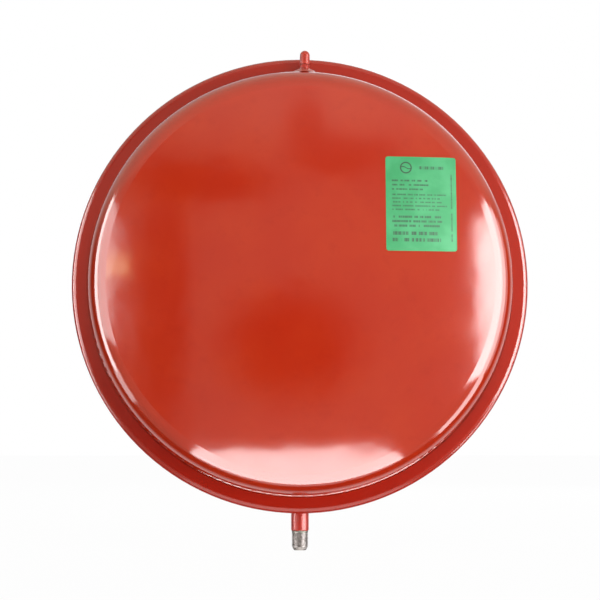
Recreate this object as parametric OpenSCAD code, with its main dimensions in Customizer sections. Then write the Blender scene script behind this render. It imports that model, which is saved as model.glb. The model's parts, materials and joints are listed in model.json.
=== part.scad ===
// Flat round expansion vessel for a sealed heating circuit: two deep-drawn steel half shells joined
// by a folded rim that grips the rubber diaphragm, a gas filling valve on top and a threaded water
// nipple below. Millimetres. The vessel stands upright as it hangs in use: its axis lies along Y, the
// gas side faces -Y, the valve points up (+Z) and the nipple down (-Z). The origin is the rim's centre.

/* [Shells] */
// Outside diameter of the cylindrical wall
wall_d = 420; // [340:1:480]
// Thickness of the steel sheet
sheet = 1.5; // [1:0.1:2]
// Height of the straight wall, from the rim's middle plane to the knuckle
wall_height = 30; // [29:0.5:36]
// Outside radius of the knuckle between wall and crown
knuckle_r = 24.5; // [16:0.5:32]
// Height of the crown above the rim's middle plane
crown_height = 72; // [66:1:110]
// Radius of the bend between wall and flange, on its open side
flange_bend = 3; // [2:0.25:4]

/* [Folded rim] */
// Width of the rim, from the wall to its outer edge
rim_width = 20; // [18:0.5:28]
// Thickness of the folded rim
rim_thickness = 11; // [9:0.25:13]
// Gap between the wall and the edge of the folded lip
lip_gap = 4.3; // [3.5:0.1:6]
// Clearance between the clamped flange's edge and the fold
fold_clearance = 0.2; // [0.1:0.05:1]

/* [Diaphragm] */
// Thickness of the rubber membrane
membrane = 2; // [1.2:0.1:2.5]
// Gap between the resting membrane and the water-side shell
membrane_gap = 0.5; // [0.3:0.1:1]
// Distance that the bead's outer edge keeps from the fold
bead_setback = 1; // [0.5:0.1:3]

/* [Gas valve] */
// Angle of the valve from straight up, towards +X
valve_angle = 1.1; // [-15:0.1:15]
// Distance of the valve's axis in front of the rim's middle plane
valve_offset = 19; // [17:0.5:21]
// Rise of the pressed pad above the wall
pad_rise = 4.2; // [3:0.1:5]
// Radius of the pad's flat top
pad_flat_r = 7; // [7:0.25:9]
// Radius at which the pad runs out into the wall
pad_foot_r = 19; // [15:0.5:21]
// Diameter of the stem's collar below the cap
collar_d = 9.8; // [9:0.1:11]
// Length of the collar
collar_length = 5.9; // [4:0.1:10]
// Diameter of the threaded neck under the cap
neck_d = 7.7; // [7.3:0.05:8]
// Length of the threaded neck
neck_length = 9.1; // [8:0.1:10]
// Diameter of the shank through the pad
shank_d = 8; // [7.4:0.1:8.8]
// Length of the shank inside the pad
shank_inside = 3.5; // [2:0.1:6]
// Radius of the round weld bead at the collar
valve_bead = 1.5; // [1:0.1:1.8]

/* [Valve cap] */
// Diameter of the cap at its open end
cap_d = 10.4; // [9.8:0.1:12]
// Diameter of the cap where its dome begins
cap_dome_d = 9.9; // [9.2:0.1:10.4]
// Length of the cap, dome included
cap_length = 14.2; // [12.9:0.1:16]
// Gap between the seated cap and the collar
cap_gap = 0.2; // [0.1:0.05:0.5]
// Radial running clearance between the cap's bore and the neck
thread_clearance = 0.07; // [0.03:0.01:0.1]
// Thickness of the sealing disc in the cap
cap_seal_thickness = 0.8; // [0.5:0.1:1]
// Radial gap between the sealing disc and the cap's bore
cap_seal_clearance = 0.15; // [0.05:0.05:0.4]
// Gap between the sealing disc and the cap's roof
cap_seal_gap = 0.04; // [0.02:0.01:0.1]
// Gap between the sealing disc and the stem's mouth
mouth_clearance = 0.05; // [0.03:0.01:0.1]

/* [Valve core] */
// Diameter of the stem's core chamber at the mouth
chamber_d = 5.2; // [5:0.05:5.4]
// Diameter of the gas channel below the core's seat
channel_d = 4.2; // [4:0.05:4.4]
// Depth at which the conical seat starts
seat_depth = 6.8; // [6:0.1:7]
// Length of the conical seat
seat_length = 2.4; // [2:0.1:3]
// Radial clearance between the core's turned pieces
core_clearance = 0.05; // [0.02:0.01:0.08]
// Depth of the core's plug below the mouth
plug_recess = 1; // [0.6:0.1:1.4]
// Length of the plug
plug_length = 4.6; // [4.2:0.1:4.8]
// Thickness of the bridge that guides the pin
bridge_thickness = 1.4; // [1:0.1:2]
// Width of the bridge, which the core tool grips
bridge_width = 2.2; // [1.8:0.1:2.6]
// Length of the barrel's end inside the plug's skirt
skirt_depth = 0.8; // [0.5:0.1:1.2]
// Diameter of the barrel
barrel_d = 3.6; // [3.5:0.05:3.8]
// Diameter of the spring chamber in the barrel
barrel_bore_d = 2.5; // [2.4:0.05:2.8]
// Length of the barrel
barrel_length = 8.8; // [8:0.1:9.6]
// Thickness of the barrel's floor, which carries the spring
barrel_floor = 0.8; // [0.5:0.1:1.2]
// Diameter of the gas passage through the barrel's floor
passage_d = 1.9; // [1.6:0.05:2]
// Length of the sealing ring on the barrel
barrel_seal_length = 1.8; // [1:0.1:2]
// Diameter of the pin
pin_d = 1; // [0.8:0.05:1.1]
// Running clearance around the pin in its bridge
pin_clearance = 0.08; // [0.03:0.01:0.1]
// Depth of the pin's tip below the mouth
pin_recess = 0.4; // [0.2:0.1:0.6]
// Diameter of the collar that the spring pushes on
pin_collar_d = 2.2; // [2.1:0.05:2.3]
// Thickness of that collar
pin_collar_thickness = 0.6; // [0.4:0.1:0.8]
// Distance of that collar below the barrel's open end
pin_collar_drop = 1.4; // [0.8:0.1:2]
// Diameter of the cup that shuts the barrel
cup_d = 3.4; // [3.3:0.05:3.6]
// Wall of the cup
cup_wall = 0.25; // [0.2:0.05:0.35]
// Thickness of the rubber disc in the cup
cup_seal_thickness = 0.8; // [0.6:0.1:1]
// Length of that disc which stands out of the cup
cup_seal_proud = 0.15; // [0.1:0.05:0.3]
// Thickness of the cup's floor
cup_floor = 0.7; // [0.4:0.1:1]
// Thickness of the pin's riveted end under the cup
rivet_thickness = 0.4; // [0.3:0.1:0.6]
// Diameter of the spring's wire
spring_wire = 0.28; // [0.2:0.02:0.3]
// Number of turns of the spring
spring_turns = 7; // [5:1:9]
// Gap between the spring and what it bears on
spring_gap = 0.05; // [0.02:0.01:0.1]

/* [Water nipple] */
// Distance of the nipple's axis behind the rim's middle plane
nipple_offset = 19; // [18:0.5:20]
// Diameter of the plain stretch
nipple_d = 17.8; // [17.2:0.1:19]
// Length from the wall to the end
nipple_length = 57.2; // [45:0.1:80]
// Major diameter of the pipe thread
thread_d = 16.66; // [16:0.01:17]
// Length of the threaded stretch, chamfer included
thread_length = 19.1; // [14:0.1:24]
// Length of the chamfer at the end
chamfer_length = 4; // [2:0.1:5]
// Depth of the chamfer at the end
chamfer_depth = 2.2; // [1:0.1:2.5]
// Length of the bevel between the plain stretch and the thread
bevel_length = 1; // [0.5:0.1:2]
// Bore of the nipple
nipple_bore_d = 10; // [8:0.1:10.6]
// Radius of the round weld bead at the nipple's foot
nipple_bead = 2.4; // [1.6:0.1:2.6]
// Number of inlet holes around the middle one
inlet_holes = 5; // [3:1:6]
// Diameter of each inlet hole
inlet_hole_d = 2.2; // [1.5:0.1:2.4]
// Radius of the circle that the inlet holes lie on
inlet_circle_r = 3; // [2.6:0.1:3.2]

/* [Label] */
// Width of the label
label_width = 69.5; // [40:0.5:80]
// Height of the label
label_height = 93.5; // [50:0.5:100]
// Corner radius of the label
label_corner = 2.5; // [1:0.5:6]
// Thickness of the label
label_thickness = 0.25; // [0.15:0.05:0.5]
// Thickness of the film of glue under the label
glue_film = 0.05; // [0.02:0.01:0.1]
// Distance of the label's centre to the right of the vessel's axis
label_right = 117; // [60:1:122]
// Distance of the label's centre above the vessel's axis
label_up = 72; // [0:1:76]

/* [Hidden] */

paint_red = "firebrick";
shell_facets = 240;
part_facets = 72;
spring_steps = 14;
spring_sides = 6;
cut_margin = 1;

wall_r = wall_d / 2;
knuckle_centre_r = wall_r - knuckle_r;
crown_above_knuckle = crown_height - wall_height;
crown_r = (pow(knuckle_centre_r, 2) + pow(crown_above_knuckle, 2) - pow(knuckle_r, 2))
    / (2 * (crown_above_knuckle - knuckle_r));
crown_centre = crown_height - crown_r;
crown_half_angle = asin(knuckle_centre_r / (crown_r - knuckle_r));
crown_flat_cut = 0.001;

bend_centre_r = wall_r + flange_bend;
fold_r = rim_thickness / 2;
fold_centre_r = wall_r + rim_width - fold_r;
lip_edge_r = wall_r + lip_gap;
rear_flange_face = fold_r;
front_flange_face = fold_r - sheet;
front_flange_edge_r = fold_centre_r - fold_clearance;
bead_thickness = rim_thickness - 3 * sheet;
bead_outer_r = fold_centre_r - bead_setback;

pad_top = wall_r + pad_rise;
pad_sunk = 1;
pad_foot = wall_r - pad_sunk;
pad_slope = pad_foot_r - pad_flat_r;
pad_curve = (pow(pad_slope, 2) + pow(pad_top - pad_foot, 2)) / (4 * (pad_top - pad_foot));
collar_top = pad_top + collar_length;
mouth = collar_top + neck_length;
stem_bottom = pad_top - sheet - shank_inside;

cap_bottom = collar_top + cap_gap;
cap_bore_r = neck_d / 2 + thread_clearance;
cap_seal_bottom = mouth + mouth_clearance;
cap_seal_top = cap_seal_bottom + cap_seal_thickness;

plug_bottom_depth = plug_recess + plug_length;
barrel_top_depth = plug_bottom_depth - skirt_depth;
barrel_bottom_depth = barrel_top_depth + barrel_length;
barrel_floor_depth = barrel_bottom_depth - barrel_floor;
barrel_seal_depth = seat_depth + (seat_length - barrel_seal_length) / 2;
pin_collar_depth = barrel_top_depth + pin_collar_drop;
spring_top_depth = pin_collar_depth + pin_collar_thickness + spring_gap;
spring_bottom_depth = barrel_floor_depth - spring_gap;
spring_r = (pin_collar_d - spring_wire) / 2;
cup_top_depth = barrel_bottom_depth + cup_seal_proud;
cup_floor_depth = barrel_bottom_depth + cup_seal_thickness;
cup_bottom_depth = cup_floor_depth + cup_floor;
rivet_r = pin_d * 0.9;

nipple_end = wall_r + nipple_length;
thread_start = nipple_end - thread_length;

// Turns a half section (radius, height) about the vessel's axis, with its height towards the front.
module turned_front() {
    rotate([90, 0, 0]) rotate_extrude($fn = shell_facets) children();
}

// The same with its height towards the rear.
module turned_rear() {
    rotate([-90, 0, 0]) rotate_extrude($fn = shell_facets) children();
}

// Turns a half section (radius, level) about the valve's axis. Levels count from the vessel's axis.
module turned_on_valve() {
    rotate([0, valve_angle, 0]) translate([0, -valve_offset, 0])
        rotate_extrude($fn = part_facets) children();
}

// Places children in the valve's core: z = 0 is the stem's mouth and +z points out of it.
module at_mouth() {
    rotate([0, valve_angle, 0]) translate([0, -valve_offset, mouth]) children();
}

// Turns a half section (radius, level) about the nipple's axis, with its level pointing down.
module turned_on_nipple() {
    translate([0, nipple_offset, 0]) rotate([180, 0, 0])
        rotate_extrude($fn = part_facets) children();
}

// A rectangle of a half section between two radii and two heights.
module band(r_low, r_high, low, high) {
    translate([r_low, low]) square([r_high - r_low, high - low]);
}

// A turned ring or disc of the core between two depths below the stem's mouth.
module core_ring(r_low, r_high, top_depth, bottom_depth) {
    at_mouth() rotate_extrude($fn = part_facets) band(r_low, r_high, -bottom_depth, -top_depth);
}

// Half section of the solid dish that lies a given inset inside the shell's outer surface. The crown's
// middle is cut flat by a micrometre, so that its sphere doesn't end in a point.
module dish(inset) {
    square([wall_r - inset, wall_height]);
    translate([knuckle_centre_r, wall_height]) circle(r = knuckle_r - inset, $fn = part_facets);
    intersection() {
        translate([0, crown_centre]) circle(r = crown_r - inset, $fn = 4 * shell_facets);
        band(0, wall_r, 0, crown_height - inset - crown_flat_cut);
        polygon([
            [0, 0],
            [-crown_centre * tan(crown_half_angle), 0],
            [(crown_height - crown_centre) * tan(crown_half_angle), crown_height],
            [0, crown_height + cut_margin]
        ]);
    }
}

// Quarter of a ring around the flange bend's centre, between two distances from that centre.
module bend(r_low, r_high, centre_height) {
    translate([bend_centre_r, centre_height]) intersection() {
        difference() {
            circle(r = r_high, $fn = part_facets);
            circle(r = r_low, $fn = part_facets);
        }
        translate([-r_high, -r_high]) square(r_high);
    }
}

// Sheet of a given thickness that lines the dish at an inset, down to the start of the flange bend.
module lining(inset, thickness, bend_height) {
    intersection() {
        difference() {
            dish(inset);
            dish(inset + thickness);
        }
        band(0, wall_r - inset, bend_height, crown_height - inset + cut_margin);
    }
}

// Half section of a drawn shell: crown, knuckle, wall, bend and flat flange.
module shell_section(flange_face, flange_edge_r) {
    bend_height = flange_face + flange_bend;
    lining(0, sheet, bend_height);
    bend(flange_bend, flange_bend + sheet, bend_height);
    band(bend_centre_r, flange_edge_r, flange_face - sheet, flange_face);
}

// Half section of the water-side sheet's fold: half round the rim, then back along the front as the lip.
module fold_section() {
    intersection() {
        translate([fold_centre_r, 0]) difference() {
            circle(r = fold_r, $fn = part_facets);
            circle(r = fold_r - sheet, $fn = part_facets);
        }
        band(fold_centre_r, fold_centre_r + fold_r, -fold_r, fold_r);
    }
    band(lip_edge_r, fold_centre_r, -fold_r, sheet - fold_r);
}

// Half section of the pressed pad under the valve: a flat top that runs out in two equal, opposite
// curves. The inset gives the sheet's inner face, which keeps the same centres of curvature.
module pad_section(inset) {
    crest_centre = pad_top - pad_curve;
    foot_centre = pad_foot + pad_curve;
    low = pad_foot - inset;
    middle_r = (pad_flat_r + pad_foot_r) / 2;
    middle = (crest_centre + foot_centre) / 2;
    band(0, pad_flat_r, low, pad_top - inset);
    intersection() {
        translate([pad_flat_r, crest_centre]) circle(r = pad_curve - inset, $fn = part_facets);
        polygon([
            [pad_flat_r, low],
            [middle_r, low],
            [middle_r + (middle_r - pad_flat_r), middle + (middle - crest_centre)],
            [middle_r, pad_top],
            [pad_flat_r, pad_top]
        ]);
    }
    difference() {
        polygon([
            [pad_flat_r, low],
            [pad_foot_r, low],
            [pad_foot_r, foot_centre],
            [pad_flat_r, crest_centre]
        ]);
        translate([pad_foot_r, foot_centre]) circle(r = pad_curve + inset, $fn = part_facets);
    }
}

// Keeps what lies in front of a plane at a given distance from the rim's middle plane.
module in_front_of(plane) {
    intersection() {
        children();
        translate([-wall_r, -wall_r, 0]) cube([wall_d, wall_r - plane, 2 * wall_r]);
    }
}

module front_shell() {
    pad_edge = front_flange_face + flange_bend;
    color(paint_red) difference() {
        union() {
            turned_front() shell_section(front_flange_face, front_flange_edge_r);
            in_front_of(pad_edge) turned_on_valve() pad_section(0);
        }
        in_front_of(pad_edge + sheet) turned_on_valve() {
            pad_section(sheet);
            band(0, pad_foot_r, pad_foot - 2 * sheet - pad_sunk, pad_foot - sheet);
        }
        turned_on_valve() band(0, shank_d / 2, pad_foot, pad_top + cut_margin);
    }
}

module rear_shell() {
    color(paint_red) difference() {
        turned_rear() {
            shell_section(rear_flange_face, fold_centre_r);
            fold_section();
        }
        turned_on_nipple() band(0, inlet_hole_d / 2, wall_r - 2 * sheet, wall_r + cut_margin);
        for (i = [0 : inlet_holes - 1])
            translate([0, nipple_offset, 0]) rotate([180, 0, i * 360 / inlet_holes])
                translate([inlet_circle_r, 0, wall_r - 2 * sheet])
                    cylinder(d = inlet_hole_d, h = 2 * sheet + cut_margin, $fn = part_facets);
    }
}

// Rubber membrane at rest against the water-side shell, in one piece with the bead in the folded rim.
module diaphragm() {
    inset = sheet + membrane_gap;
    bend_height = rear_flange_face + flange_bend;
    rear_face = rear_flange_face - sheet;
    color("dimgray") turned_rear() {
        lining(inset, membrane, bend_height);
        bend(flange_bend + inset, flange_bend + inset + membrane, bend_height);
        band(bend_centre_r, bead_outer_r, rear_face - bead_thickness, rear_face);
    }
}

module water_nipple() {
    end_r = thread_d / 2 - chamfer_depth;
    color("lightgray") difference() {
        turned_on_nipple() polygon([
            [nipple_bore_d / 2, wall_r - sheet],
            [nipple_d / 2, wall_r - sheet],
            [nipple_d / 2, thread_start - bevel_length],
            [thread_d / 2, thread_start],
            [thread_d / 2, nipple_end - chamfer_length],
            [end_r, nipple_end],
            [nipple_bore_d / 2, nipple_end]
        ]);
        turned_rear() square([wall_r, wall_height]);
    }
}

// Round bead around a tube of a given radius that stands on a surface at a given level.
module weld_section(tube_r, level, bead_r) {
    difference() {
        translate([tube_r + bead_r / 3, level + bead_r / 4]) circle(r = bead_r, $fn = part_facets);
        band(0, tube_r, level - bead_r, level + 2 * bead_r);
    }
}

module nipple_weld() {
    color(paint_red) difference() {
        turned_on_nipple() weld_section(nipple_d / 2, wall_r, nipple_bead);
        turned_rear() {
            square([wall_r, wall_height + nipple_bead]);
            shell_section(rear_flange_face, fold_centre_r);
        }
    }
}

module valve_stem() {
    channel_r = channel_d / 2;
    seat_end = mouth - seat_depth - seat_length;
    color(paint_red) turned_on_valve() difference() {
        union() {
            band(0, shank_d / 2, stem_bottom, pad_top);
            band(0, collar_d / 2, pad_top, collar_top);
            band(0, neck_d / 2, collar_top, mouth);
        }
        polygon([
            [0, stem_bottom - cut_margin],
            [channel_r, stem_bottom - cut_margin],
            [channel_r, seat_end],
            [chamber_d / 2, mouth - seat_depth],
            [chamber_d / 2, mouth + cut_margin],
            [0, mouth + cut_margin]
        ]);
    }
}

module valve_weld() {
    color(paint_red) turned_on_valve() difference() {
        weld_section(collar_d / 2, pad_top, valve_bead);
        band(0, pad_flat_r, pad_top - valve_bead, pad_top);
    }
}

// Radius of the stem's conical seat at a depth below its mouth.
function seat_r(depth) = chamber_d / 2 - (chamber_d - channel_d) / 2 * (depth - seat_depth) / seat_length;

// Screwed head of the core: a skirt, and on top a narrow bridge with the pin's guide hole.
module core_plug() {
    outer_r = chamber_d / 2 - core_clearance;
    bridge_depth = plug_recess + bridge_thickness;
    color("goldenrod") difference() {
        core_ring(0, outer_r, plug_recess, plug_bottom_depth);
        core_ring(0, barrel_bore_d / 2, bridge_depth, plug_bottom_depth + cut_margin);
        core_ring(0, barrel_d / 2 + core_clearance, barrel_top_depth, plug_bottom_depth + cut_margin);
        core_ring(0, pin_d / 2 + pin_clearance, 0, bridge_depth + cut_margin);
        for (side = [0, 180])
            at_mouth() rotate([0, 0, side])
                translate([bridge_width / 2, -outer_r, -bridge_depth])
                    cube([outer_r, 2 * outer_r, bridge_thickness + cut_margin]);
    }
}

module core_barrel() {
    color("goldenrod") difference() {
        core_ring(0, barrel_d / 2, barrel_top_depth, barrel_bottom_depth);
        core_ring(0, barrel_bore_d / 2, barrel_top_depth - cut_margin, barrel_floor_depth);
        core_ring(0, passage_d / 2, barrel_top_depth, barrel_bottom_depth + cut_margin);
    }
}

module core_barrel_seal() {
    seal_end = barrel_seal_depth + barrel_seal_length;
    color("whitesmoke") at_mouth() rotate_extrude($fn = part_facets) polygon([
        [barrel_d / 2, -barrel_seal_depth],
        [seat_r(barrel_seal_depth), -barrel_seal_depth],
        [seat_r(seal_end), -seal_end],
        [barrel_d / 2, -seal_end]
    ]);
}

module core_pin() {
    color("silver") at_mouth() rotate_extrude($fn = part_facets) {
        band(0, pin_d / 2, -cup_bottom_depth - rivet_thickness, -pin_recess);
        band(0, pin_collar_d / 2, -pin_collar_depth - pin_collar_thickness, -pin_collar_depth);
        band(0, rivet_r, -cup_bottom_depth - rivet_thickness, -cup_bottom_depth);
    }
}

module core_cup() {
    color("goldenrod") difference() {
        core_ring(pin_d / 2, cup_d / 2, cup_top_depth, cup_bottom_depth);
        core_ring(0, cup_d / 2 - cup_wall, barrel_bottom_depth, cup_floor_depth);
    }
}

module core_cup_seal() {
    color("dimgray") core_ring(pin_d / 2, cup_d / 2 - cup_wall, barrel_bottom_depth, cup_floor_depth);
}

// Point on the spring's wire surface: step counts along the helix, side counts around the wire.
function spring_point(step, side) =
    let (turn = step * 360 / spring_steps)
    let (around = side * 360 / spring_sides)
    let (rise = spring_bottom_depth - spring_top_depth - spring_wire)
    let (z = -spring_bottom_depth + spring_wire / 2 + rise * step / (spring_steps * spring_turns))
    let (r = spring_r + spring_wire / 2 * cos(around))
    [r * cos(turn), r * sin(turn), z + spring_wire / 2 * sin(around)];

module core_spring() {
    steps = spring_steps * spring_turns;
    points = [for (step = [0 : steps], side = [0 : spring_sides - 1]) spring_point(step, side)];
    sides = [for (step = [0 : steps - 1], side = [0 : spring_sides - 1])
        let (next = (side + 1) % spring_sides)
        let (here = step * spring_sides)
        [here + side, here + side + spring_sides, here + next + spring_sides, here + next]];
    start = [for (side = [0 : spring_sides - 1]) side];
    finish = [for (side = [spring_sides - 1 : -1 : 0]) steps * spring_sides + side];
    color("silver") at_mouth() polyhedron(points, concat([start], sides, [finish]));
}

module valve_cap() {
    dome_r = cap_dome_d / 2;
    dome_centre = cap_bottom + cap_length - dome_r;
    color(paint_red) turned_on_valve() difference() {
        union() {
            polygon([[0, cap_bottom], [cap_d / 2, cap_bottom], [dome_r, dome_centre], [0, dome_centre]]);
            intersection() {
                translate([0, dome_centre]) circle(r = dome_r, $fn = part_facets);
                band(0, dome_r, dome_centre - cut_margin, dome_centre + dome_r);
            }
        }
        band(0, cap_bore_r, cap_bottom - cut_margin, cap_seal_top + cap_seal_gap);
    }
}

module cap_seal() {
    color("dimgray") turned_on_valve()
        band(0, cap_bore_r - cap_seal_clearance, cap_seal_bottom, cap_seal_top);
}

// Flat rectangle with round corners, centred.
module rounded_rectangle(width, height, corner) {
    square([width - 2 * corner, height], center = true);
    square([width, height - 2 * corner], center = true);
    for (x = [-1, 1], y = [-1, 1])
        translate([x * (width / 2 - corner), y * (height / 2 - corner)])
            circle(r = corner, $fn = part_facets);
}

// Printed sticker that follows the crown, on its film of glue.
module label() {
    color("mediumseagreen") intersection() {
        difference() {
            turned_front() dish(-glue_film - label_thickness);
            turned_front() dish(-glue_film);
        }
        translate([label_right, 0, label_up]) rotate([90, 0, 0])
            linear_extrude(height = crown_height + cut_margin)
                rounded_rectangle(label_width, label_height, label_corner);
    }
}

front_shell();
rear_shell();
diaphragm();
water_nipple();
nipple_weld();
valve_stem();
valve_weld();
core_plug();
core_barrel();
core_barrel_seal();
core_pin();
core_spring();
core_cup();
core_cup_seal();
valve_cap();
cap_seal();
label();
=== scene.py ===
import json
import math

import bmesh
import bpy
from mathutils import Matrix, Vector

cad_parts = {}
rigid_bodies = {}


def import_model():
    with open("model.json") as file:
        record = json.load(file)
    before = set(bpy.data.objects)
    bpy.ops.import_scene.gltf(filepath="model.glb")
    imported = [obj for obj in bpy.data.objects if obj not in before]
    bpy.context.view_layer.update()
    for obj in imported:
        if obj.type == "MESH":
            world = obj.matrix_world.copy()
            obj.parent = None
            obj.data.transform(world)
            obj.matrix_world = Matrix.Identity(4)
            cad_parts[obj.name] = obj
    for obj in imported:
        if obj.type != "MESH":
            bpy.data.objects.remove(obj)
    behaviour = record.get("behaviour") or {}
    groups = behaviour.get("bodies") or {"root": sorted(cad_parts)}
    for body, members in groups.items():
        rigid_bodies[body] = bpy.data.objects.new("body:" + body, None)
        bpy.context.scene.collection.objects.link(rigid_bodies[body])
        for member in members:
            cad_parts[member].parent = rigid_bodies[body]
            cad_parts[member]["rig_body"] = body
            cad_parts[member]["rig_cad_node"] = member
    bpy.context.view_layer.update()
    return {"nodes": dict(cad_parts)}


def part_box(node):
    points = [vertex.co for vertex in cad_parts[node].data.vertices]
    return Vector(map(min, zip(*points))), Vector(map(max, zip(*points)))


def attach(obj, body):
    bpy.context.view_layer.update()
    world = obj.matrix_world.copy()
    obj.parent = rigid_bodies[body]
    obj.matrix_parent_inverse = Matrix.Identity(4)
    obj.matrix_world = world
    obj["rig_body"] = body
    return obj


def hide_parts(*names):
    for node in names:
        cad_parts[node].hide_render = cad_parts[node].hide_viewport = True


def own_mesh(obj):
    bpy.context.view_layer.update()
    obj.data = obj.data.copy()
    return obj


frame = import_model()

MM = 0.001
TINY = 1e-6
SMOOTH_ANGLE = math.radians(35)
DEGREES = 180 / math.pi

# The vessel's wall, and where its paint passes into the rim's duller paint with painted shade, from
# its axis
WALL_R = 210 * MM
RIM_DULL_SHADE_R = 213 * MM
RIM_DULL_SHADE_FADE = 3 * MM

# Water nipple
NIPPLE_Y = 19 * MM
NIPPLE_R = 8.9 * MM
NIPPLE_BORE_R = 5 * MM
NIPPLE_SHOULDER = 1.0 * MM
NIPPLE_BEVEL = 0.25 * MM
NIPPLE_EDGE = 0.3 * MM
NIPPLE_END = -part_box("water_nipple")[0].z
PIPE_THREAD_R = 8.33 * MM
PIPE_THREAD_DEPTH = 0.856 * MM
PIPE_THREAD_PITCH = 1.337 * MM
PIPE_THREAD_START = NIPPLE_END - 19.1 * MM
PIPE_THREAD_FADE = 2.2 * PIPE_THREAD_PITCH
PIPE_CHAMFER = 4 * MM
PIPE_CHAMFER_DEPTH = 2.2 * MM

# Gas valve: its levels count along its own axis, which leans to the right
VALVE_LEAN = math.radians(1.1)
VALVE_Y = -19 * MM
PAD_TOP = 214.2 * MM
COLLAR_R = 4.9 * MM
COLLAR_TOP = 220.1 * MM
COLLAR_ROUND = 0.3 * MM
NECK_R = 3.85 * MM
NECK_THREAD_DEPTH = 0.49 * MM
NECK_THREAD_PITCH = 0.794 * MM
MOUTH = 229.2 * MM
MOUTH_CHAMFER = 0.8 * MM
MOUTH_EDGE = 0.2 * MM
STEM_BOTTOM = 209.2 * MM
SHANK_R = 4 * MM
CHAMBER_R = 2.6 * MM
CHANNEL_R = 2.1 * MM
SEAT_DEPTH = 6.8 * MM
SEAT_LENGTH = 2.4 * MM
STEM_WALL = 0.6 * MM

# Threads and welds
THREAD_STEPS = 72
WELD_SINK = 0.4 * MM
WELD_SEGMENTS = 24
WELD_RIPPLE_SEGMENTS = 8

# Label
LABEL_LOW, LABEL_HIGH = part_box("label")
LABEL_X = (LABEL_LOW.x + LABEL_HIGH.x) / 2
LABEL_Z = (LABEL_LOW.z + LABEL_HIGH.z) / 2
LABEL_W = LABEL_HIGH.x - LABEL_LOW.x
LABEL_H = LABEL_HIGH.z - LABEL_LOW.z


# ---------------------------------------------------------------- shader maths

class Value:
    """A number or vector on a shader socket. Arithmetic on it adds Math nodes."""

    def __init__(self, nodes, socket):
        self.nodes = nodes
        self.socket = socket

    def _math(self, operation, *values):
        return self.nodes.node("ShaderNodeMath", {"operation": operation}, dict(enumerate(values)))

    def __add__(self, other):
        return self._math("ADD", self, other)

    def __sub__(self, other):
        return self._math("SUBTRACT", self, other)

    def __rsub__(self, other):
        return self._math("SUBTRACT", other, self)

    def __mul__(self, other):
        return self._math("MULTIPLY", self, other)

    def __truediv__(self, other):
        return self._math("DIVIDE", self, other)

    def __mod__(self, other):
        return self._math("FLOORED_MODULO", self, other)

    __radd__ = __add__
    __rmul__ = __mul__

    def floor(self):
        return self._math("FLOOR", self)

    def root(self):
        return self._math("SQRT", self)

    def sine(self):
        return self._math("SINE", self)

    def angle_from(self, other):
        return self._math("ARCTAN2", self, other)

    def at_least(self, other):
        return self._math("MAXIMUM", self, other)

    def at_most(self, other):
        return self._math("MINIMUM", self, other)

    def ramp(self, low, high):
        """0 below low, 1 above high, and smooth between; low may be the higher one."""
        settings = {"interpolation_type": "SMOOTHSTEP", "clamp": True}
        return self.nodes.node("ShaderNodeMapRange", settings,
                               {"Value": self, "From Min": low, "From Max": high})


class Nodes:
    """A node tree in the making."""

    def __init__(self, tree, coordinates):
        self.tree = tree
        tree.nodes.clear()
        self.place = self.node("ShaderNodeTexCoord", output=coordinates)
        split = self.add("ShaderNodeSeparateXYZ", inputs={0: self.place})
        self.x, self.y, self.z = (Value(self, socket) for socket in split.outputs)

    def add(self, kind, settings=None, inputs=None):
        """A node with its settings made first, then its sockets' values or links."""
        made = self.tree.nodes.new(kind)
        for key, value in (settings or {}).items():
            setattr(made, key, value)
        for key, value in (inputs or {}).items():
            socket = next((s for s in made.inputs if s.identifier == key), None) or made.inputs[key]
            if isinstance(value, Value):
                self.tree.links.new(value.socket, socket)
            else:
                socket.default_value = value
        return made

    def node(self, kind, settings=None, inputs=None, output=None):
        """The same, for its first live output or a named one."""
        outputs = [o for o in self.add(kind, settings, inputs).outputs if o.enabled]
        return Value(self, next(o for o in outputs if output in (None, o.name, o.identifier)))

    def noise(self, size, detail=2.0, roughness=0.5, place=None):
        """Cloudy noise from 0 to 1 whose blobs are about size metres across."""
        return self.node("ShaderNodeTexNoise", {}, {
            "Vector": place or self.place, "Scale": 1 / size, "Detail": detail,
            "Roughness": roughness}, "Fac")

    def cells(self, size):
        """Distance from the nearest of many scattered points, in units of size."""
        return self.node("ShaderNodeTexVoronoi", {}, {"Vector": self.place, "Scale": 1 / size},
                         "Distance")

    def stretched(self, scale):
        """The place with its three axes scaled, for grain that runs one way."""
        return self.node("ShaderNodeMapping", {}, {"Vector": self.place, "Scale": scale})

    def mix(self, factor, first, second):
        """A colour between two; factor 0 gives the first."""
        return self.node("ShaderNodeMix", {"data_type": "RGBA"}, {
            "Factor_Float": factor, "A_Color": first, "B_Color": second}, "Result_Color")

    def bump(self, height, distance, under=None):
        """A normal roughened by a height from 0 to 1 that stands for distance metres."""
        inputs = {"Height": height, "Distance": distance}
        if under is not None:
            inputs["Normal"] = under
        return self.node("ShaderNodeBump", {}, inputs)

    def mixed_shader(self, factor, first, second):
        return self.node("ShaderNodeMixShader", {}, {0: factor, 1: first, 2: second})

    def output(self, kind, surface):
        self.add(kind, inputs={"Surface": surface})


class Finish(Nodes):
    """A material with a Principled surface, patterned on the piece's own coordinates."""

    def __init__(self, name):
        self.material = bpy.data.materials.new(name)
        self.material.use_nodes = True
        super().__init__(self.material.node_tree, "Object")

    def surface(self, **inputs):
        """The finished material; an underscore in a socket's name stands for a space."""
        inputs = {key.replace("_", " "): value for key, value in inputs.items()}
        self.output("ShaderNodeOutputMaterial",
                    self.node("ShaderNodeBsdfPrincipled", {}, inputs))
        return self.material


def rgb(red, green, blue):
    return (red, green, blue, 1.0)


# ---------------------------------------------------------------- finishes

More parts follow.
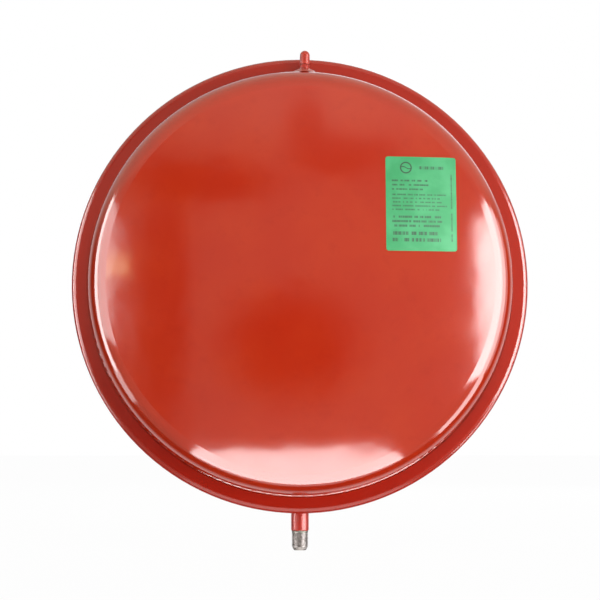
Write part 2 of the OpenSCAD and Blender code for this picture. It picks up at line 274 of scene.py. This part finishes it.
PAINT_RED = rgb(0.55, 0.026, 0.005)
PAINT_DEEP = rgb(0.49, 0.019, 0.004)
PAINT_WARM = rgb(0.58, 0.034, 0.006)
# painted shade: the folded rim's colour, darkened for the shade it lies in beside the dish's wall
PAINT_RIM_SHADE = rgb(0.50, 0.015, 0.003)
PAINT_SPECK = rgb(0.72, 0.10, 0.05)
PAINT_ROUGHNESS = 0.09
PAINT_IOR = 1.5
TURNED_PAINT_DULLER = 0.16


def paint_coat(finish):
    """Sprayed gloss enamel: its colour, with painted shade on the folded rim, its roughness and
    orange peel.
    """
    clouds = finish.noise(70 * MM, 3.0)
    colour = finish.mix(clouds.ramp(0.35, 0.7), PAINT_RED, PAINT_WARM)
    patches = finish.noise(18 * MM, 4.0, 0.6).ramp(0.5, 0.75)
    colour = finish.mix(patches * 0.35, colour, PAINT_DEEP)
    specks = finish.cells(2.6 * MM).ramp(0.07, 0.03) * finish.noise(9 * MM).ramp(0.55, 0.7)
    colour = finish.mix(specks * 0.22, colour, PAINT_SPECK)
    # the folded rim is duller than the drawn dish, and its colour is painted a little darker:
    # painted shade for the shadowed groove round the dish
    from_axis = (finish.x * finish.x + finish.z * finish.z).root()
    rim = from_axis.ramp(RIM_DULL_SHADE_R, RIM_DULL_SHADE_R + RIM_DULL_SHADE_FADE)
    colour = finish.mix(rim * 0.95, colour, PAINT_RIM_SHADE)
    haze = finish.noise(30 * MM, 4.0).ramp(0.3, 0.8)
    roughness = PAINT_ROUGHNESS + haze * 0.03 + specks * 0.1 + rim * 0.05
    peel = finish.noise(2.2 * MM, 2.0, 0.45)
    waves = finish.noise(26 * MM, 1.0)
    normal = finish.bump(waves, 0.16 * MM)
    normal = finish.bump(peel, 0.009 * MM, normal)
    return colour, roughness, normal


def vessel_paint():
    """The enamel on both half shells and the welds."""
    finish = Finish("vessel_paint")
    colour, roughness, normal = paint_coat(finish)
    return finish.surface(Base_Color=colour, Roughness=roughness, Normal=normal, IOR=PAINT_IOR)


STEEL_STAIN = rgb(0.13, 0.115, 0.10)
STEEL_STREAK = rgb(0.42, 0.39, 0.37)
# the darker colour of the first turns under the paint's edge
UNDER_PAINT_DARK = rgb(0.085, 0.095, 0.075)
NIPPLE_STEEL = rgb(0.27, 0.25, 0.245)
NECK_BRASS = rgb(0.62, 0.52, 0.33)


def steel_coat(finish, tint):
    """Turned, slightly oxidised steel: its colour, roughness and the tool's fine rings."""
    rings = finish.noise(0.4 * MM, 2.0, 0.5, finish.stretched((0.05, 0.05, 1.0)))
    stains = finish.noise(3 * MM, 4.0, 0.6)
    streaks = finish.noise(1.6 * MM, 2.0, 0.5, finish.stretched((1.0, 1.0, 0.12)))
    colour = finish.mix(stains.ramp(0.4, 0.75) * 0.6, tint, STEEL_STAIN)
    colour = finish.mix(streaks.ramp(0.45, 0.7) * 0.35, colour, STEEL_STREAK)
    roughness = 0.30 + stains.ramp(0.3, 0.8) * 0.25 + rings * 0.08
    return colour, roughness, rings


def half_painted(name, bare_above, edge, tint):
    """Enamel up to an uneven edge, and bare metal past it. The edge is a level in Z;
    bare_above says which side of it is bare."""
    finish = Finish(name)
    paint, paint_roughness, paint_normal = paint_coat(finish)
    steel, steel_roughness, rings = steel_coat(finish, tint)
    level = finish.z + (finish.noise(2.4 * MM, 3.0) - 0.5) * 1.6 * MM
    past = level - edge if bare_above else edge - level
    edge_softness = 0.12 * MM
    bare = past.ramp(-edge_softness, edge_softness)
    # the first turns under the paint's edge are darker
    dark_reach = 3.4 * MM
    edge_dark = past.ramp(dark_reach, dark_reach * 0.25)
    steel = finish.mix(edge_dark * 0.75, steel, UNDER_PAINT_DARK)
    colour = finish.mix(bare, paint, steel)
    roughness = (paint_roughness + TURNED_PAINT_DULLER) * (1 - bare) + steel_roughness * bare
    lip = finish.bump(1 - bare, 0.06 * MM, paint_normal)
    normal = finish.bump(rings * bare, 0.01 * MM, lip)
    return finish.surface(Base_Color=colour, Roughness=roughness, Metallic=bare * 0.9,
                          Normal=normal, IOR=PAINT_IOR)


def cap_plastic():
    """Moulded red plastic with a faint flow grain."""
    finish = Finish("cap_plastic")
    clouds = finish.noise(4 * MM, 3.0)
    colour = finish.mix(clouds.ramp(0.3, 0.7), rgb(0.56, 0.035, 0.012), rgb(0.50, 0.026, 0.010))
    scuffs = finish.noise(1.2 * MM, 4.0, 0.6, finish.stretched((1.0, 1.0, 0.3)))
    roughness = 0.27 + scuffs.ramp(0.4, 0.8) * 0.12
    grain = finish.noise(0.5 * MM, 2.0)
    return finish.surface(Base_Color=colour, Roughness=roughness, IOR=1.49,
                          Normal=finish.bump(grain, 0.012 * MM))


def rubber(name, shade):
    """Moulded black rubber with a dusty bloom."""
    finish = Finish(name)
    bloom = finish.noise(6 * MM, 5.0, 0.6)
    dusty = rgb(shade * 2.2, shade * 2.1, shade * 2)
    colour = finish.mix(bloom.ramp(0.4, 0.8), rgb(shade, shade, shade), dusty)
    grain = finish.noise(0.6 * MM, 3.0)
    return finish.surface(Base_Color=colour, Roughness=0.62 + bloom * 0.2, IOR=1.52,
                          Normal=finish.bump(grain, 0.03 * MM))


def turned_metal(name, tint, dark, roughness):
    """A small turned metal piece with faint rings and tarnish."""
    finish = Finish(name)
    tarnish = finish.noise(1.2 * MM, 4.0, 0.6)
    colour = finish.mix(tarnish.ramp(0.45, 0.8) * 0.7, tint, dark)
    rings = finish.noise(0.15 * MM, 2.0, 0.5, finish.stretched((0.05, 0.05, 1.0)))
    return finish.surface(Base_Color=colour, Metallic=1.0, Roughness=roughness + tarnish * 0.15,
                          Normal=finish.bump(rings, 0.004 * MM))


def sealing_plastic():
    """The smooth reddish plastic of the core's conical seal."""
    finish = Finish("core_seal_plastic")
    clouds = finish.noise(1 * MM, 2.0)
    colour = finish.mix(clouds, rgb(0.70, 0.10, 0.06), rgb(0.60, 0.07, 0.05))
    return finish.surface(Base_Color=colour, Roughness=0.35 + clouds * 0.1,
                          Normal=finish.bump(clouds, 0.01 * MM))


LABEL_GREEN = rgb(0.013, 0.290, 0.088)
LABEL_PALE = rgb(0.042, 0.375, 0.138)
LABEL_EDGE = rgb(0.015, 0.34, 0.095)
LABEL_INK = rgb(0.004, 0.022, 0.010)

LABEL_MARGIN = 6 * MM
INK_EDGE = 0.12 * MM
STROKE = 0.55 * MM
# first row's level, number of rows, pitch, thickness, right end, word length, seed, darkness
LABEL_ROWS = [
    (24 * MM, 3, 4.3 * MM, 1.7 * MM, 44 * MM, 2.6 * MM, 1.3, 1.0),
    (38 * MM, 5, 3.7 * MM, 1.5 * MM, 62 * MM, 2.4 * MM, 5.1, 0.9),
    (60 * MM, 3, 4.4 * MM, 2.2 * MM, 62 * MM, 3.0 * MM, 9.7, 1.0),
    (76.2 * MM, 2, 6.4 * MM, 3.4 * MM, 63 * MM, 3.6 * MM, 3.9, 1.0),
]


def label_print():
    """A green printed film: a plain vessel symbol, a heading bar, rows of small bars
    as an unreadable notice, two bolder rows and a column up the side."""
    finish = Finish("label_print")
    across = finish.x - (LABEL_X - LABEL_W / 2)
    down = (LABEL_Z + LABEL_H / 2) - finish.z

    def bar(value, low, high):
        """1 between two limits."""
        return (value.ramp(low - INK_EDGE, low + INK_EDGE)
                * value.ramp(high + INK_EDGE, high - INK_EDGE))

    def marks(along, across_row, pitch, word, seed):
        """Word-like breaks: short strokes, with gaps between groups of them."""
        row = (across_row / pitch).floor() * 7.31 + seed
        spot = finish.node("ShaderNodeCombineXYZ", {}, {0: along / word, 1: row})
        words = finish.node("ShaderNodeTexNoise", {"noise_dimensions": "2D"},
                            {"Vector": spot, "Scale": 1.0, "Detail": 0.0}, "Fac").ramp(0.36, 0.42)
        spot = finish.node("ShaderNodeCombineXYZ", {}, {0: along / STROKE, 1: row * 3.7})
        strokes = finish.node("ShaderNodeTexNoise", {"noise_dimensions": "2D"},
                              {"Vector": spot, "Scale": 1.0, "Detail": 1.0}, "Fac").ramp(0.38, 0.62)
        return words * (0.45 + strokes * 0.55)

    def rows(top, count, pitch, thickness, right, word, seed):
        """Evenly spaced rows of small marks from the margin to an uneven right end."""
        inside = bar(down, top - pitch / 2, top + pitch * (count - 0.5))
        local = (down - (top - pitch / 2)) % pitch
        line = bar(local, (pitch - thickness) / 2, (pitch + thickness) / 2)
        index = ((down - (top - pitch / 2)) / pitch).floor()
        length = finish.node("ShaderNodeTexWhiteNoise", {"noise_dimensions": "1D"},
                             {"W": index + seed}, "Value")
        end = right - length * (right - LABEL_MARGIN) * 0.2
        begun = across.ramp(LABEL_MARGIN - 0.1 * MM, LABEL_MARGIN + 0.1 * MM)
        span = begun * (end - across).ramp(0.0, 0.2 * MM)
        return inside * line * span * marks(across, down - (top - pitch / 2), pitch, word, seed)

    # heading bar, in one row of marks
    one_row = 100 * MM
    heading = bar(down, 9.4 * MM, 12.4 * MM) * bar(across, 33 * MM, 57 * MM)
    ink = heading * marks(across, down, one_row, 3.2 * MM, 2.2).at_least(0.25)
    for *row, darkness in LABEL_ROWS:
        ink = ink.at_least(rows(*row) * darkness)
    # a circle with a wavy line through it, the drawing-office sign for a vessel with a membrane
    from_x = across - 20 * MM
    from_z = down - 11 * MM
    distance = (from_x * from_x + from_z * from_z).root()
    ring = bar(distance, 4.6 * MM, 5.9 * MM)
    wave = (from_x / (1.9 * MM)).sine() * 1.1 * MM
    membrane = bar(from_z - wave, -0.5 * MM, 0.5 * MM) * distance.ramp(5.2 * MM, 4.9 * MM)
    ink = ink.at_least(ring).at_least(membrane)
    # a column of small marks up the right side
    column = bar(across, 64.0 * MM, 65.4 * MM) * bar(down, 17 * MM, 84 * MM)
    column = column * marks(down, across * 0, 1.0, 6.5 * MM, 4.4)
    ink = ink.at_least(column * 0.85)

    fade = finish.noise(22 * MM, 3.0)
    field = finish.mix(fade.ramp(0.35, 0.7), LABEL_GREEN, LABEL_PALE)
    edge_x = across.at_most(LABEL_W - across)
    edge_z = down.at_most(LABEL_H - down)
    rim = edge_x.at_most(edge_z).ramp(1.3 * MM, 0.5 * MM)
    field = finish.mix(rim * 0.8, field, LABEL_EDGE)
    colour = finish.mix(ink * 0.93, field, LABEL_INK)
    crease = finish.noise(9 * MM, 3.0, 0.5)
    gloss = 0.36 + finish.noise(7 * MM, 3.0) * 0.12
    return finish.surface(Base_Color=colour, Roughness=gloss, IOR=1.46,
                          Normal=finish.bump(crease, 0.05 * MM))


# ---------------------------------------------------------------- modelling

def start():
    """Nothing selected, so that the next primitive is worked on alone."""
    if bpy.context.object and bpy.context.object.mode == "EDIT":
        bpy.ops.object.mode_set(mode="OBJECT")
    bpy.ops.object.select_all(action="DESELECT")


def done(name, material, body, lean=0.0):
    """Names the active piece, puts its place into its mesh, leans it with the valve's
    axis, and hangs it on its body."""
    if bpy.context.object.mode == "EDIT":
        bpy.ops.object.mode_set(mode="OBJECT")
    piece = bpy.context.object
    bpy.ops.object.transform_apply(location=True, rotation=True, scale=True)
    piece.data.transform(Matrix.Rotation(lean, 4, "Y"))
    piece.name = name
    piece.data.name = name
    piece.data.materials.clear()
    piece.data.materials.append(material)
    bpy.ops.object.shade_smooth_by_angle(angle=SMOOTH_ANGLE)
    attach(piece, body)
    return piece


def outward():
    """Merges doubles and turns every face outwards."""
    bpy.ops.mesh.select_all(action="SELECT")
    bpy.ops.mesh.remove_doubles(threshold=TINY)
    bpy.ops.mesh.normals_make_consistent(inside=False)


def choose(test):
    """Selects the vertices of the mesh in edit mode whose place passes a test."""
    mesh = bmesh.from_edit_mesh(bpy.context.object.data)
    bpy.ops.mesh.select_mode(type="VERT")
    bpy.ops.mesh.select_all(action="DESELECT")
    for vertex in mesh.verts:
        vertex.select = test(vertex.co)
    mesh.select_flush_mode()
    bmesh.update_edit_mesh(bpy.context.object.data)


def grow(radius, level, next_radius, next_level):
    """Extrudes the selected ring round the local Z axis to another radius and level."""
    bpy.ops.mesh.extrude_region_move(
        TRANSFORM_OT_translate={"value": (0, 0, next_level - level)})
    scale = next_radius / radius
    origin = bpy.context.object.location
    bpy.ops.transform.resize(value=(scale, scale, 1),
                             center_override=(origin.x, origin.y, 0))


def carry_ring(radius, level, steps):
    """Carries the selected ring through a list of radii and levels."""
    for next_radius, next_level in steps:
        grow(radius, level, next_radius, next_level)
        radius, level = next_radius, next_level


def thread_surface(place, radius, depth, pitch, low, high):
    """A helical V thread between two levels, as an open tube in edit mode."""
    start()
    turns = math.ceil((high - low) / pitch) + 2
    flat = pitch / 8
    root = radius - depth
    bpy.ops.mesh.primitive_plane_add(size=0.01, location=place)
    bpy.ops.object.mode_set(mode="EDIT")
    bpy.ops.mesh.select_mode(type="VERT")
    bpy.ops.mesh.merge(type="CENTER")
    bpy.ops.transform.translate(value=(root, 0, low - pitch))
    for outward_step, up in ((0, flat), (depth, pitch / 2 - flat), (0, flat),
                             (-depth, pitch / 2 - flat)):
        bpy.ops.mesh.extrude_region_move(
            TRANSFORM_OT_translate={"value": (outward_step, 0, up)})
    bpy.ops.object.mode_set(mode="OBJECT")
    screw = bpy.context.object.modifiers.new("thread", "SCREW")
    screw.steps = screw.render_steps = THREAD_STEPS
    screw.iterations = turns
    screw.screw_offset = pitch
    screw.use_merge_vertices = True
    screw.merge_threshold = TINY
    bpy.ops.object.modifier_apply(modifier="thread")
    bpy.ops.object.mode_set(mode="EDIT")
    bpy.ops.mesh.select_all(action="SELECT")
    bpy.ops.mesh.remove_doubles(threshold=TINY)
    for level, direction in ((low, -1), (high, 1)):
        bpy.ops.mesh.select_all(action="SELECT")
        bpy.ops.mesh.bisect(plane_co=(place[0], place[1], place[2] + level),
                            plane_no=(0, 0, direction), clear_outer=True, threshold=TINY / 10)


def shape_radius(rule):
    """Moves every vertex in edit mode to the radius that the rule gives for its own
    radius and level."""
    mesh = bmesh.from_edit_mesh(bpy.context.object.data)
    for vertex in mesh.verts:
        radius = math.hypot(vertex.co.x, vertex.co.y)
        scale = rule(radius, vertex.co.z) / radius
        vertex.co.x *= scale
        vertex.co.y *= scale
    bmesh.update_edit_mesh(bpy.context.object.data)


def fade(value, low, high):
    """0 below low, 1 above high, straight between."""
    return min(1, max(0, (value - low) / (high - low)))


def close_ends():
    """Joins the two open rings of the active tube."""
    bpy.ops.mesh.select_mode(type="EDGE")
    bpy.ops.mesh.select_all(action="DESELECT")
    bpy.ops.mesh.select_non_manifold(
        extend=False, use_wire=False, use_boundary=True, use_multi_face=False,
        use_non_contiguous=False, use_verts=False)
    bpy.ops.mesh.bridge_edge_loops()


def water_nipple():
    """The nipple: plain painted stretch, pipe thread that runs out under the paint's
    edge, chamfered end and bore. Its levels count downwards from the vessel's axis."""
    thread_surface((0, NIPPLE_Y, 0), PIPE_THREAD_R, PIPE_THREAD_DEPTH, PIPE_THREAD_PITCH,
                   -NIPPLE_END, -PIPE_THREAD_START)
    end_r = PIPE_THREAD_R - PIPE_CHAMFER_DEPTH
    foot = -WALL_R + 0.1 * MM

    def envelope(radius, level):
        cut = fade(-PIPE_THREAD_START - level, 0, PIPE_THREAD_FADE)
        radius = PIPE_THREAD_R - (PIPE_THREAD_R - radius) * cut
        chamfer = fade(level + NIPPLE_END, 0, PIPE_CHAMFER)
        return min(radius, end_r + PIPE_CHAMFER_DEPTH * chamfer)

    shape_radius(envelope)
    choose(lambda co: co.z > -PIPE_THREAD_START - TINY)
    carry_ring(PIPE_THREAD_R, -PIPE_THREAD_START, [
        (NIPPLE_R - NIPPLE_BEVEL, -PIPE_THREAD_START + NIPPLE_SHOULDER - NIPPLE_EDGE),
        (NIPPLE_R, -PIPE_THREAD_START + NIPPLE_SHOULDER),
        (NIPPLE_R, foot),
        (NIPPLE_BORE_R + 1 * MM, foot)])
    choose(lambda co: co.z < -NIPPLE_END + TINY)
    carry_ring(end_r, -NIPPLE_END, [
        (end_r - 0.2 * MM, -NIPPLE_END),
        (NIPPLE_BORE_R + NIPPLE_EDGE, -NIPPLE_END),
        (NIPPLE_BORE_R, -NIPPLE_END + NIPPLE_EDGE),
        (NIPPLE_BORE_R, foot)])
    close_ends()
    outward()
    paint_edge = -PIPE_THREAD_START + 0.4 * MM
    finish = half_painted("nipple_finish", False, paint_edge, NIPPLE_STEEL)
    piece = done("nipple", finish, "vessel")
    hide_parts("water_nipple")


def filling_valve():
    """The gas valve's stem: shank, painted collar, threaded neck and the core's chamber."""
    thread_surface((0, VALVE_Y, 0), NECK_R, NECK_THREAD_DEPTH, NECK_THREAD_PITCH,
                   COLLAR_TOP, MOUTH)
    root = NECK_R - NECK_THREAD_DEPTH
    mouth_r = root - MOUTH_EDGE

    def envelope(radius, level):
        cut = fade(level - COLLAR_TOP, 0.5 * MM, 1.1 * MM)
        radius = root + (radius - root) * cut
        return min(radius, mouth_r + fade(MOUTH - level, 0, MOUTH_CHAMFER) * (NECK_R - mouth_r))

    shape_radius(envelope)
    choose(lambda co: co.z < COLLAR_TOP + TINY)
    carry_ring(root, COLLAR_TOP, [
        (COLLAR_R - COLLAR_ROUND, COLLAR_TOP),
        (COLLAR_R - 0.3 * COLLAR_ROUND, COLLAR_TOP - 0.3 * COLLAR_ROUND),
        (COLLAR_R, COLLAR_TOP - COLLAR_ROUND),
        (COLLAR_R, PAD_TOP),
        (SHANK_R, PAD_TOP),
        (SHANK_R, STEM_BOTTOM),
        (CHANNEL_R + STEM_WALL, STEM_BOTTOM)])
    choose(lambda co: co.z > MOUTH - TINY)
    carry_ring(mouth_r, MOUTH, [
        (CHAMBER_R + MOUTH_EDGE, MOUTH),
        (CHAMBER_R, MOUTH - MOUTH_EDGE),
        (CHAMBER_R, MOUTH - SEAT_DEPTH),
        (CHANNEL_R, MOUTH - SEAT_DEPTH - SEAT_LENGTH),
        (CHANNEL_R, STEM_BOTTOM)])
    close_ends()
    outward()
    finish = half_painted("valve_finish", True, COLLAR_TOP - 0.1 * MM, NECK_BRASS)
    piece = done("filling_valve", finish, "vessel", VALVE_LEAN)
    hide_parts("valve_stem")


def weld_bead(name, place, tube_r, bead, direction, base, ripples, replaced, lean=0.0):
    """A rippled weld round a tube that stands on a wall at level base. Direction is 1 if
    the tube points up and -1 if it points down."""
    start()
    centre_r = tube_r + bead / 3
    bpy.ops.mesh.primitive_torus_add(
        major_segments=ripples * WELD_RIPPLE_SEGMENTS, minor_segments=WELD_SEGMENTS,
        major_radius=centre_r, minor_radius=bead,
        location=(place[0], place[1], base + direction * bead / 4))
    bpy.ops.object.mode_set(mode="EDIT")
    mesh = bmesh.from_edit_mesh(bpy.context.object.data)
    for vertex in mesh.verts:
        angle = math.atan2(vertex.co.y, vertex.co.x)
        radius = math.hypot(vertex.co.x, vertex.co.y)
        slope = math.atan2(vertex.co.z, radius - centre_r)
        # the bead swells a little round its way, and its ripples curve over its back
        uneven = 0.035 * math.sin(3 * angle + 0.7) + 0.025 * math.sin(7 * angle)
        phase = ripples * angle + 1.1 * math.cos(2 * slope)
        scale = 1 + uneven + 0.075 * (abs(math.sin(phase / 2)) - 0.6)
        new_radius = centre_r + (radius - centre_r) * scale
        vertex.co.x *= new_radius / radius
        vertex.co.y *= new_radius / radius
        vertex.co.z *= scale
    bmesh.update_edit_mesh(bpy.context.object.data)
    bpy.ops.mesh.select_all(action="SELECT")
    bpy.ops.mesh.bisect(plane_co=(0, 0, base - direction * WELD_SINK),
                        plane_no=(0, 0, direction), clear_inner=True, use_fill=True)
    outward()
    piece = done(name, vessel_paint_finish, "vessel", lean)
    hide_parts(replaced)


def copied(node):
    """A piece of its own with a CAD node's mesh, left in edit mode."""
    start()
    source = frame["nodes"][node]
    piece = source.copy()
    piece.data = source.data.copy()
    piece.parent = None
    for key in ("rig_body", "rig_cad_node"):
        del piece[key]
    bpy.context.scene.collection.objects.link(piece)
    piece.select_set(True)
    bpy.context.view_layer.objects.active = piece
    bpy.ops.object.mode_set(mode="EDIT")


def membrane():
    """The diaphragm, which lines the water side at rest."""
    copied("diaphragm")
    outward()
    piece = done("membrane", rubber("membrane_rubber", 0.022), "vessel")
    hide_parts("diaphragm")
    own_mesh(piece)


def valve_spring(finish):
    """The core's spring."""
    copied("core_spring")
    outward()
    piece = done("valve_spring", finish, "vessel")
    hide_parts("core_spring")
    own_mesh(piece)


# ---------------------------------------------------------------- the vessel

vessel_paint_finish = vessel_paint()
brass = turned_metal("core_brass", rgb(0.78, 0.58, 0.28), rgb(0.42, 0.28, 0.12), 0.26)
steel = turned_metal("core_steel", rgb(0.62, 0.61, 0.58), rgb(0.34, 0.32, 0.29), 0.24)
seal_rubber = rubber("seal_rubber", 0.03)

FINISHES = {
    "front_shell": vessel_paint_finish,
    "rear_shell": vessel_paint_finish,
    "core_plug": brass,
    "core_barrel": brass,
    "core_cup": brass,
    "core_barrel_seal": sealing_plastic(),
    "core_pin": steel,
    "core_cup_seal": seal_rubber,
    "cap_seal": seal_rubber,
    "valve_cap": cap_plastic(),
    "label": label_print(),
}
for node_name, finish in FINISHES.items():
    for material_slot in frame["nodes"][node_name].material_slots:
        material_slot.material = finish

water_nipple()
filling_valve()
weld_bead("nipple_weld_bead", (0, NIPPLE_Y), NIPPLE_R, bead=2.4 * MM, direction=-1, base=-WALL_R,
          ripples=40, replaced="nipple_weld")
weld_bead("valve_weld_bead", (0, VALVE_Y), COLLAR_R, bead=1.5 * MM, direction=1, base=PAD_TOP,
          ripples=26, replaced="valve_weld", lean=VALVE_LEAN)
membrane()
valve_spring(steel)


# ---------------------------------------------------------------- stage

CAMERA_PLACE = (-0.023, -1.542, -0.157)
CAMERA_AIM = (-0.0002, 0, -0.0166)
CAMERA_LENS = 92.2
CAMERA_SENSOR = 36

# How bright the room is on surfaces, in gloss, and in gloss at its ceiling, whose edge is
# given in degrees; how much darker its sides are; and its tint
ROOM_LIGHT = 0.13
ROOM_SHINE = 0.85
CEILING_SHINE = 1.4
CEILING_STARTS, CEILING_FULL = 24, 32
SIDE_DARK = 0.93
ROOM_TINT = rgb(1.0, 0.95, 0.78)
WHITE = rgb(1, 1, 1)

# Darker places of the room as gloss sees them: azimuth and elevation of the middle, half
# width and half height, all in degrees, and depth
DARK_PLACES = [
    (-0.8, -4.2, 11, 9, 0.9),
    (-19.5, 2, 4.5, 22, 0.85),
    (-14, 20, 12, 3.5, 0.85),
    (7, 24, 9, 3.5, 0.7),
    (1.5, 29, 3.5, 4, 0.65),
]

FLOOR_LEVEL = -NIPPLE_END - 1 * MM
FLOOR_SIZE = 12
FLOOR_BACK = 3.5
FLOOR_GREY = rgb(0.8, 0.8, 0.8)
FLOOR_WHITE = 0.98

# Lamps at the sides that gloss shows: name, place, width, height, strength. Each faces X = 0.
SIDE_SHINES = [
    ("right_wall_shine", (1.0, -1.065, 0.035), 1.25, 0.97, 20),
    ("right_strip_shine", (1.0, -0.29, 0.01), 0.3, 0.9, 11),
    ("right_edge_shine", (1.0, -0.04, 0.0), 0.2, 0.8, 3),
    ("right_foot_shine", (1.0, -0.24, -0.72), 0.4, 0.56, 10),
    ("left_wall_shine", (-1.0, -1.06, 0.15), 1.34, 0.74, 8),
    ("left_strip_shine", (-1.0, -0.22, 0.06), 0.28, 0.96, 16),
    ("left_foot_shine", (-1.0, -0.2, -0.54), 0.46, 0.24, 6),
]

# Square lamps that light the surfaces: name, place, strength. Each faces the vessel's centre.
LIGHT_SIZE = 1.2
LIGHTS = [
    ("right_light", (1.68, -1.68, -0.33), 5.9),
    ("left_light", (-1.6, -1.6, -0.82), 3.2),
    ("high_light", (0.35, -1.8, 1.54), 4.7),
    ("low_light", (0.27, -1.52, -1.84), 2.9),
    ("rear_light", (0.8, 1.8, 0.9), 4.6),
]


def lamp(name, place, target, width, height, strength, shine=False, colour=(1, 1, 1),
         only=None):
    """A rectangular lamp that looks at target. Strength 1 is as bright as a white sheet.
    A shine lamp is only seen in gloss; another lights the surfaces and leaves no reflection.
    With only, the lamp is kept to that one node."""
    direction = (Vector(place) - Vector(target)).normalized()
    light = bpy.data.lights.new(name, "AREA")
    light.shape = "RECTANGLE"
    light.size, light.size_y = width, height
    light.energy = strength * math.pi * width * height
    light.color = colour
    holder = bpy.data.objects.new(name, light)
    bpy.context.scene.collection.objects.link(holder)
    holder.location = place
    holder.rotation_euler = direction.to_track_quat("Z", "Y").to_euler()
    holder.visible_camera = False
    holder.visible_diffuse = not shine
    holder.visible_glossy = shine
    if shine:
        # dark to rays that come from a lit surface, so that one face's gloss throws none of
        # it on to another face
        light.use_nodes = True
        nodes = Nodes(light.node_tree, "Normal")
        thrown = nodes.node("ShaderNodeLightPath", output="Diffuse Depth").at_most(1)
        nodes.output("ShaderNodeOutputLight",
                     nodes.node("ShaderNodeEmission", {}, {"Strength": 1 - thrown}))
    if only:
        group = bpy.data.collections.new(name)
        group.objects.link(frame["nodes"][only])
        holder.light_linking.receiver_collection = group


def stage_room():
    """The room round the vessel. Surfaces are lit evenly by it. Gloss sees white behind
    the vessel, dark sides and, in front of it, a grey room with a paler ceiling and a few
    darker places; the camera sees white."""
    world = bpy.data.worlds.new("room")
    bpy.context.scene.world = world
    world.use_nodes = True
    room = Nodes(world.node_tree, "Generated")
    azimuth = room.x.angle_from(room.y * -1) * DEGREES
    elevation = room.z.angle_from((room.x * room.x + room.y * room.y).root()) * DEGREES

    def dark_place(at_azimuth, at_elevation, width, height, depth):
        """1, but for a soft dark oval, depth deep, at a direction in degrees."""
        across = (azimuth - at_azimuth) / width
        up = (elevation - at_elevation) / height
        return 1 - (across * across + up * up).root().ramp(1.35, 0.45) * depth

    ceiling = elevation.ramp(CEILING_STARTS, CEILING_FULL)
    shine = ceiling * (CEILING_SHINE - ROOM_SHINE) + ROOM_SHINE
    for place in DARK_PLACES:
        shine = shine * dark_place(*place)
    # the sides are dark up to a low height, and all is white farther back
    beside = room.y.ramp(-0.2, 0.0) * elevation.ramp(28, 8)
    shine = shine * (1 - beside * SIDE_DARK)
    behind = room.y.ramp(0.35, 0.62)
    shine = shine * (1 - behind) + behind
    ray = room.add("ShaderNodeLightPath")
    glossy = Value(room, ray.outputs["Is Glossy Ray"])
    seen = Value(room, ray.outputs["Is Camera Ray"])
    strength = ROOM_LIGHT * (1 - glossy) + shine * glossy
    strength = strength * (1 - seen) + seen
    colour = room.mix(glossy * (1 - behind), WHITE, ROOM_TINT)
    room.output("ShaderNodeOutputWorld",
                room.node("ShaderNodeBackground", {}, {"Color": colour, "Strength": strength}))


def stage_floor():
    """A pale floor just under the nipple, white to the camera but for a faint shadow.
    Some lamps stand lower than the floor, so it lets their light through."""
    start()
    bpy.ops.mesh.primitive_plane_add(size=FLOOR_SIZE, location=(0, FLOOR_BACK, FLOOR_LEVEL))
    floor = bpy.context.object
    floor.name = "floor"
    floor.visible_glossy = False
    floor.visible_shadow = False
    material = bpy.data.materials.new("floor")
    material.use_nodes = True
    floor.data.materials.append(material)
    nodes = Nodes(material.node_tree, "Object")
    seen = nodes.node("ShaderNodeLightPath", output="Is Camera Ray") * FLOOR_WHITE
    lit = nodes.node("ShaderNodeBsdfDiffuse", {}, {"Color": FLOOR_GREY})
    white = nodes.node("ShaderNodeEmission", {}, {"Strength": 1.0})
    nodes.output("ShaderNodeOutputMaterial", nodes.mixed_shader(seen, lit, white))


def stage_camera():
    """The camera, a little below the vessel's middle and far enough for a long lens."""
    camera = bpy.data.cameras.new("camera")
    camera.lens = CAMERA_LENS
    camera.sensor_width = CAMERA_SENSOR
    holder = bpy.data.objects.new("camera", camera)
    bpy.context.scene.collection.objects.link(holder)
    holder.location = CAMERA_PLACE
    aim = Vector(CAMERA_AIM) - Vector(CAMERA_PLACE)
    holder.rotation_euler = aim.to_track_quat("-Z", "Y").to_euler()
    bpy.context.scene.camera = holder


stage_room()
stage_floor()
stage_camera()
for lamp_name, side, lamp_width, lamp_height, lamp_strength in SIDE_SHINES:
    lamp(lamp_name, side, (0, side[1], side[2]), lamp_width, lamp_height, lamp_strength, shine=True)
lamp("warm_shine", (-1.02, -1.78, 0.27), (0, 0, 0), 0.12, 0.12, 6, shine=True,
     colour=(1, 0.72, 0.3))
# a bright sheet in front of and below the rim; turned metal would blow out in it
lamp("table_shine", (-0.0075, -0.265, -0.3), (-0.0075, -0.265, 0), 0.38, 0.37, 13, shine=True,
     only="front_shell")
lamp("table_glow", (-0.01, -0.93, -0.8), (-0.01, -0.93, 0), 1.02, 1.66, 2, shine=True)
for lamp_name, spot, lamp_strength in LIGHTS:
    lamp(lamp_name, spot, (0, 0, 0), LIGHT_SIZE, LIGHT_SIZE, lamp_strength)
lamp("rear_shine", (0.9, 2.2, 1.6), (0, 0, 0), 2.0, 1.4, 1.0, shine=True)

bpy.context.scene.view_settings.view_transform = "Standard"
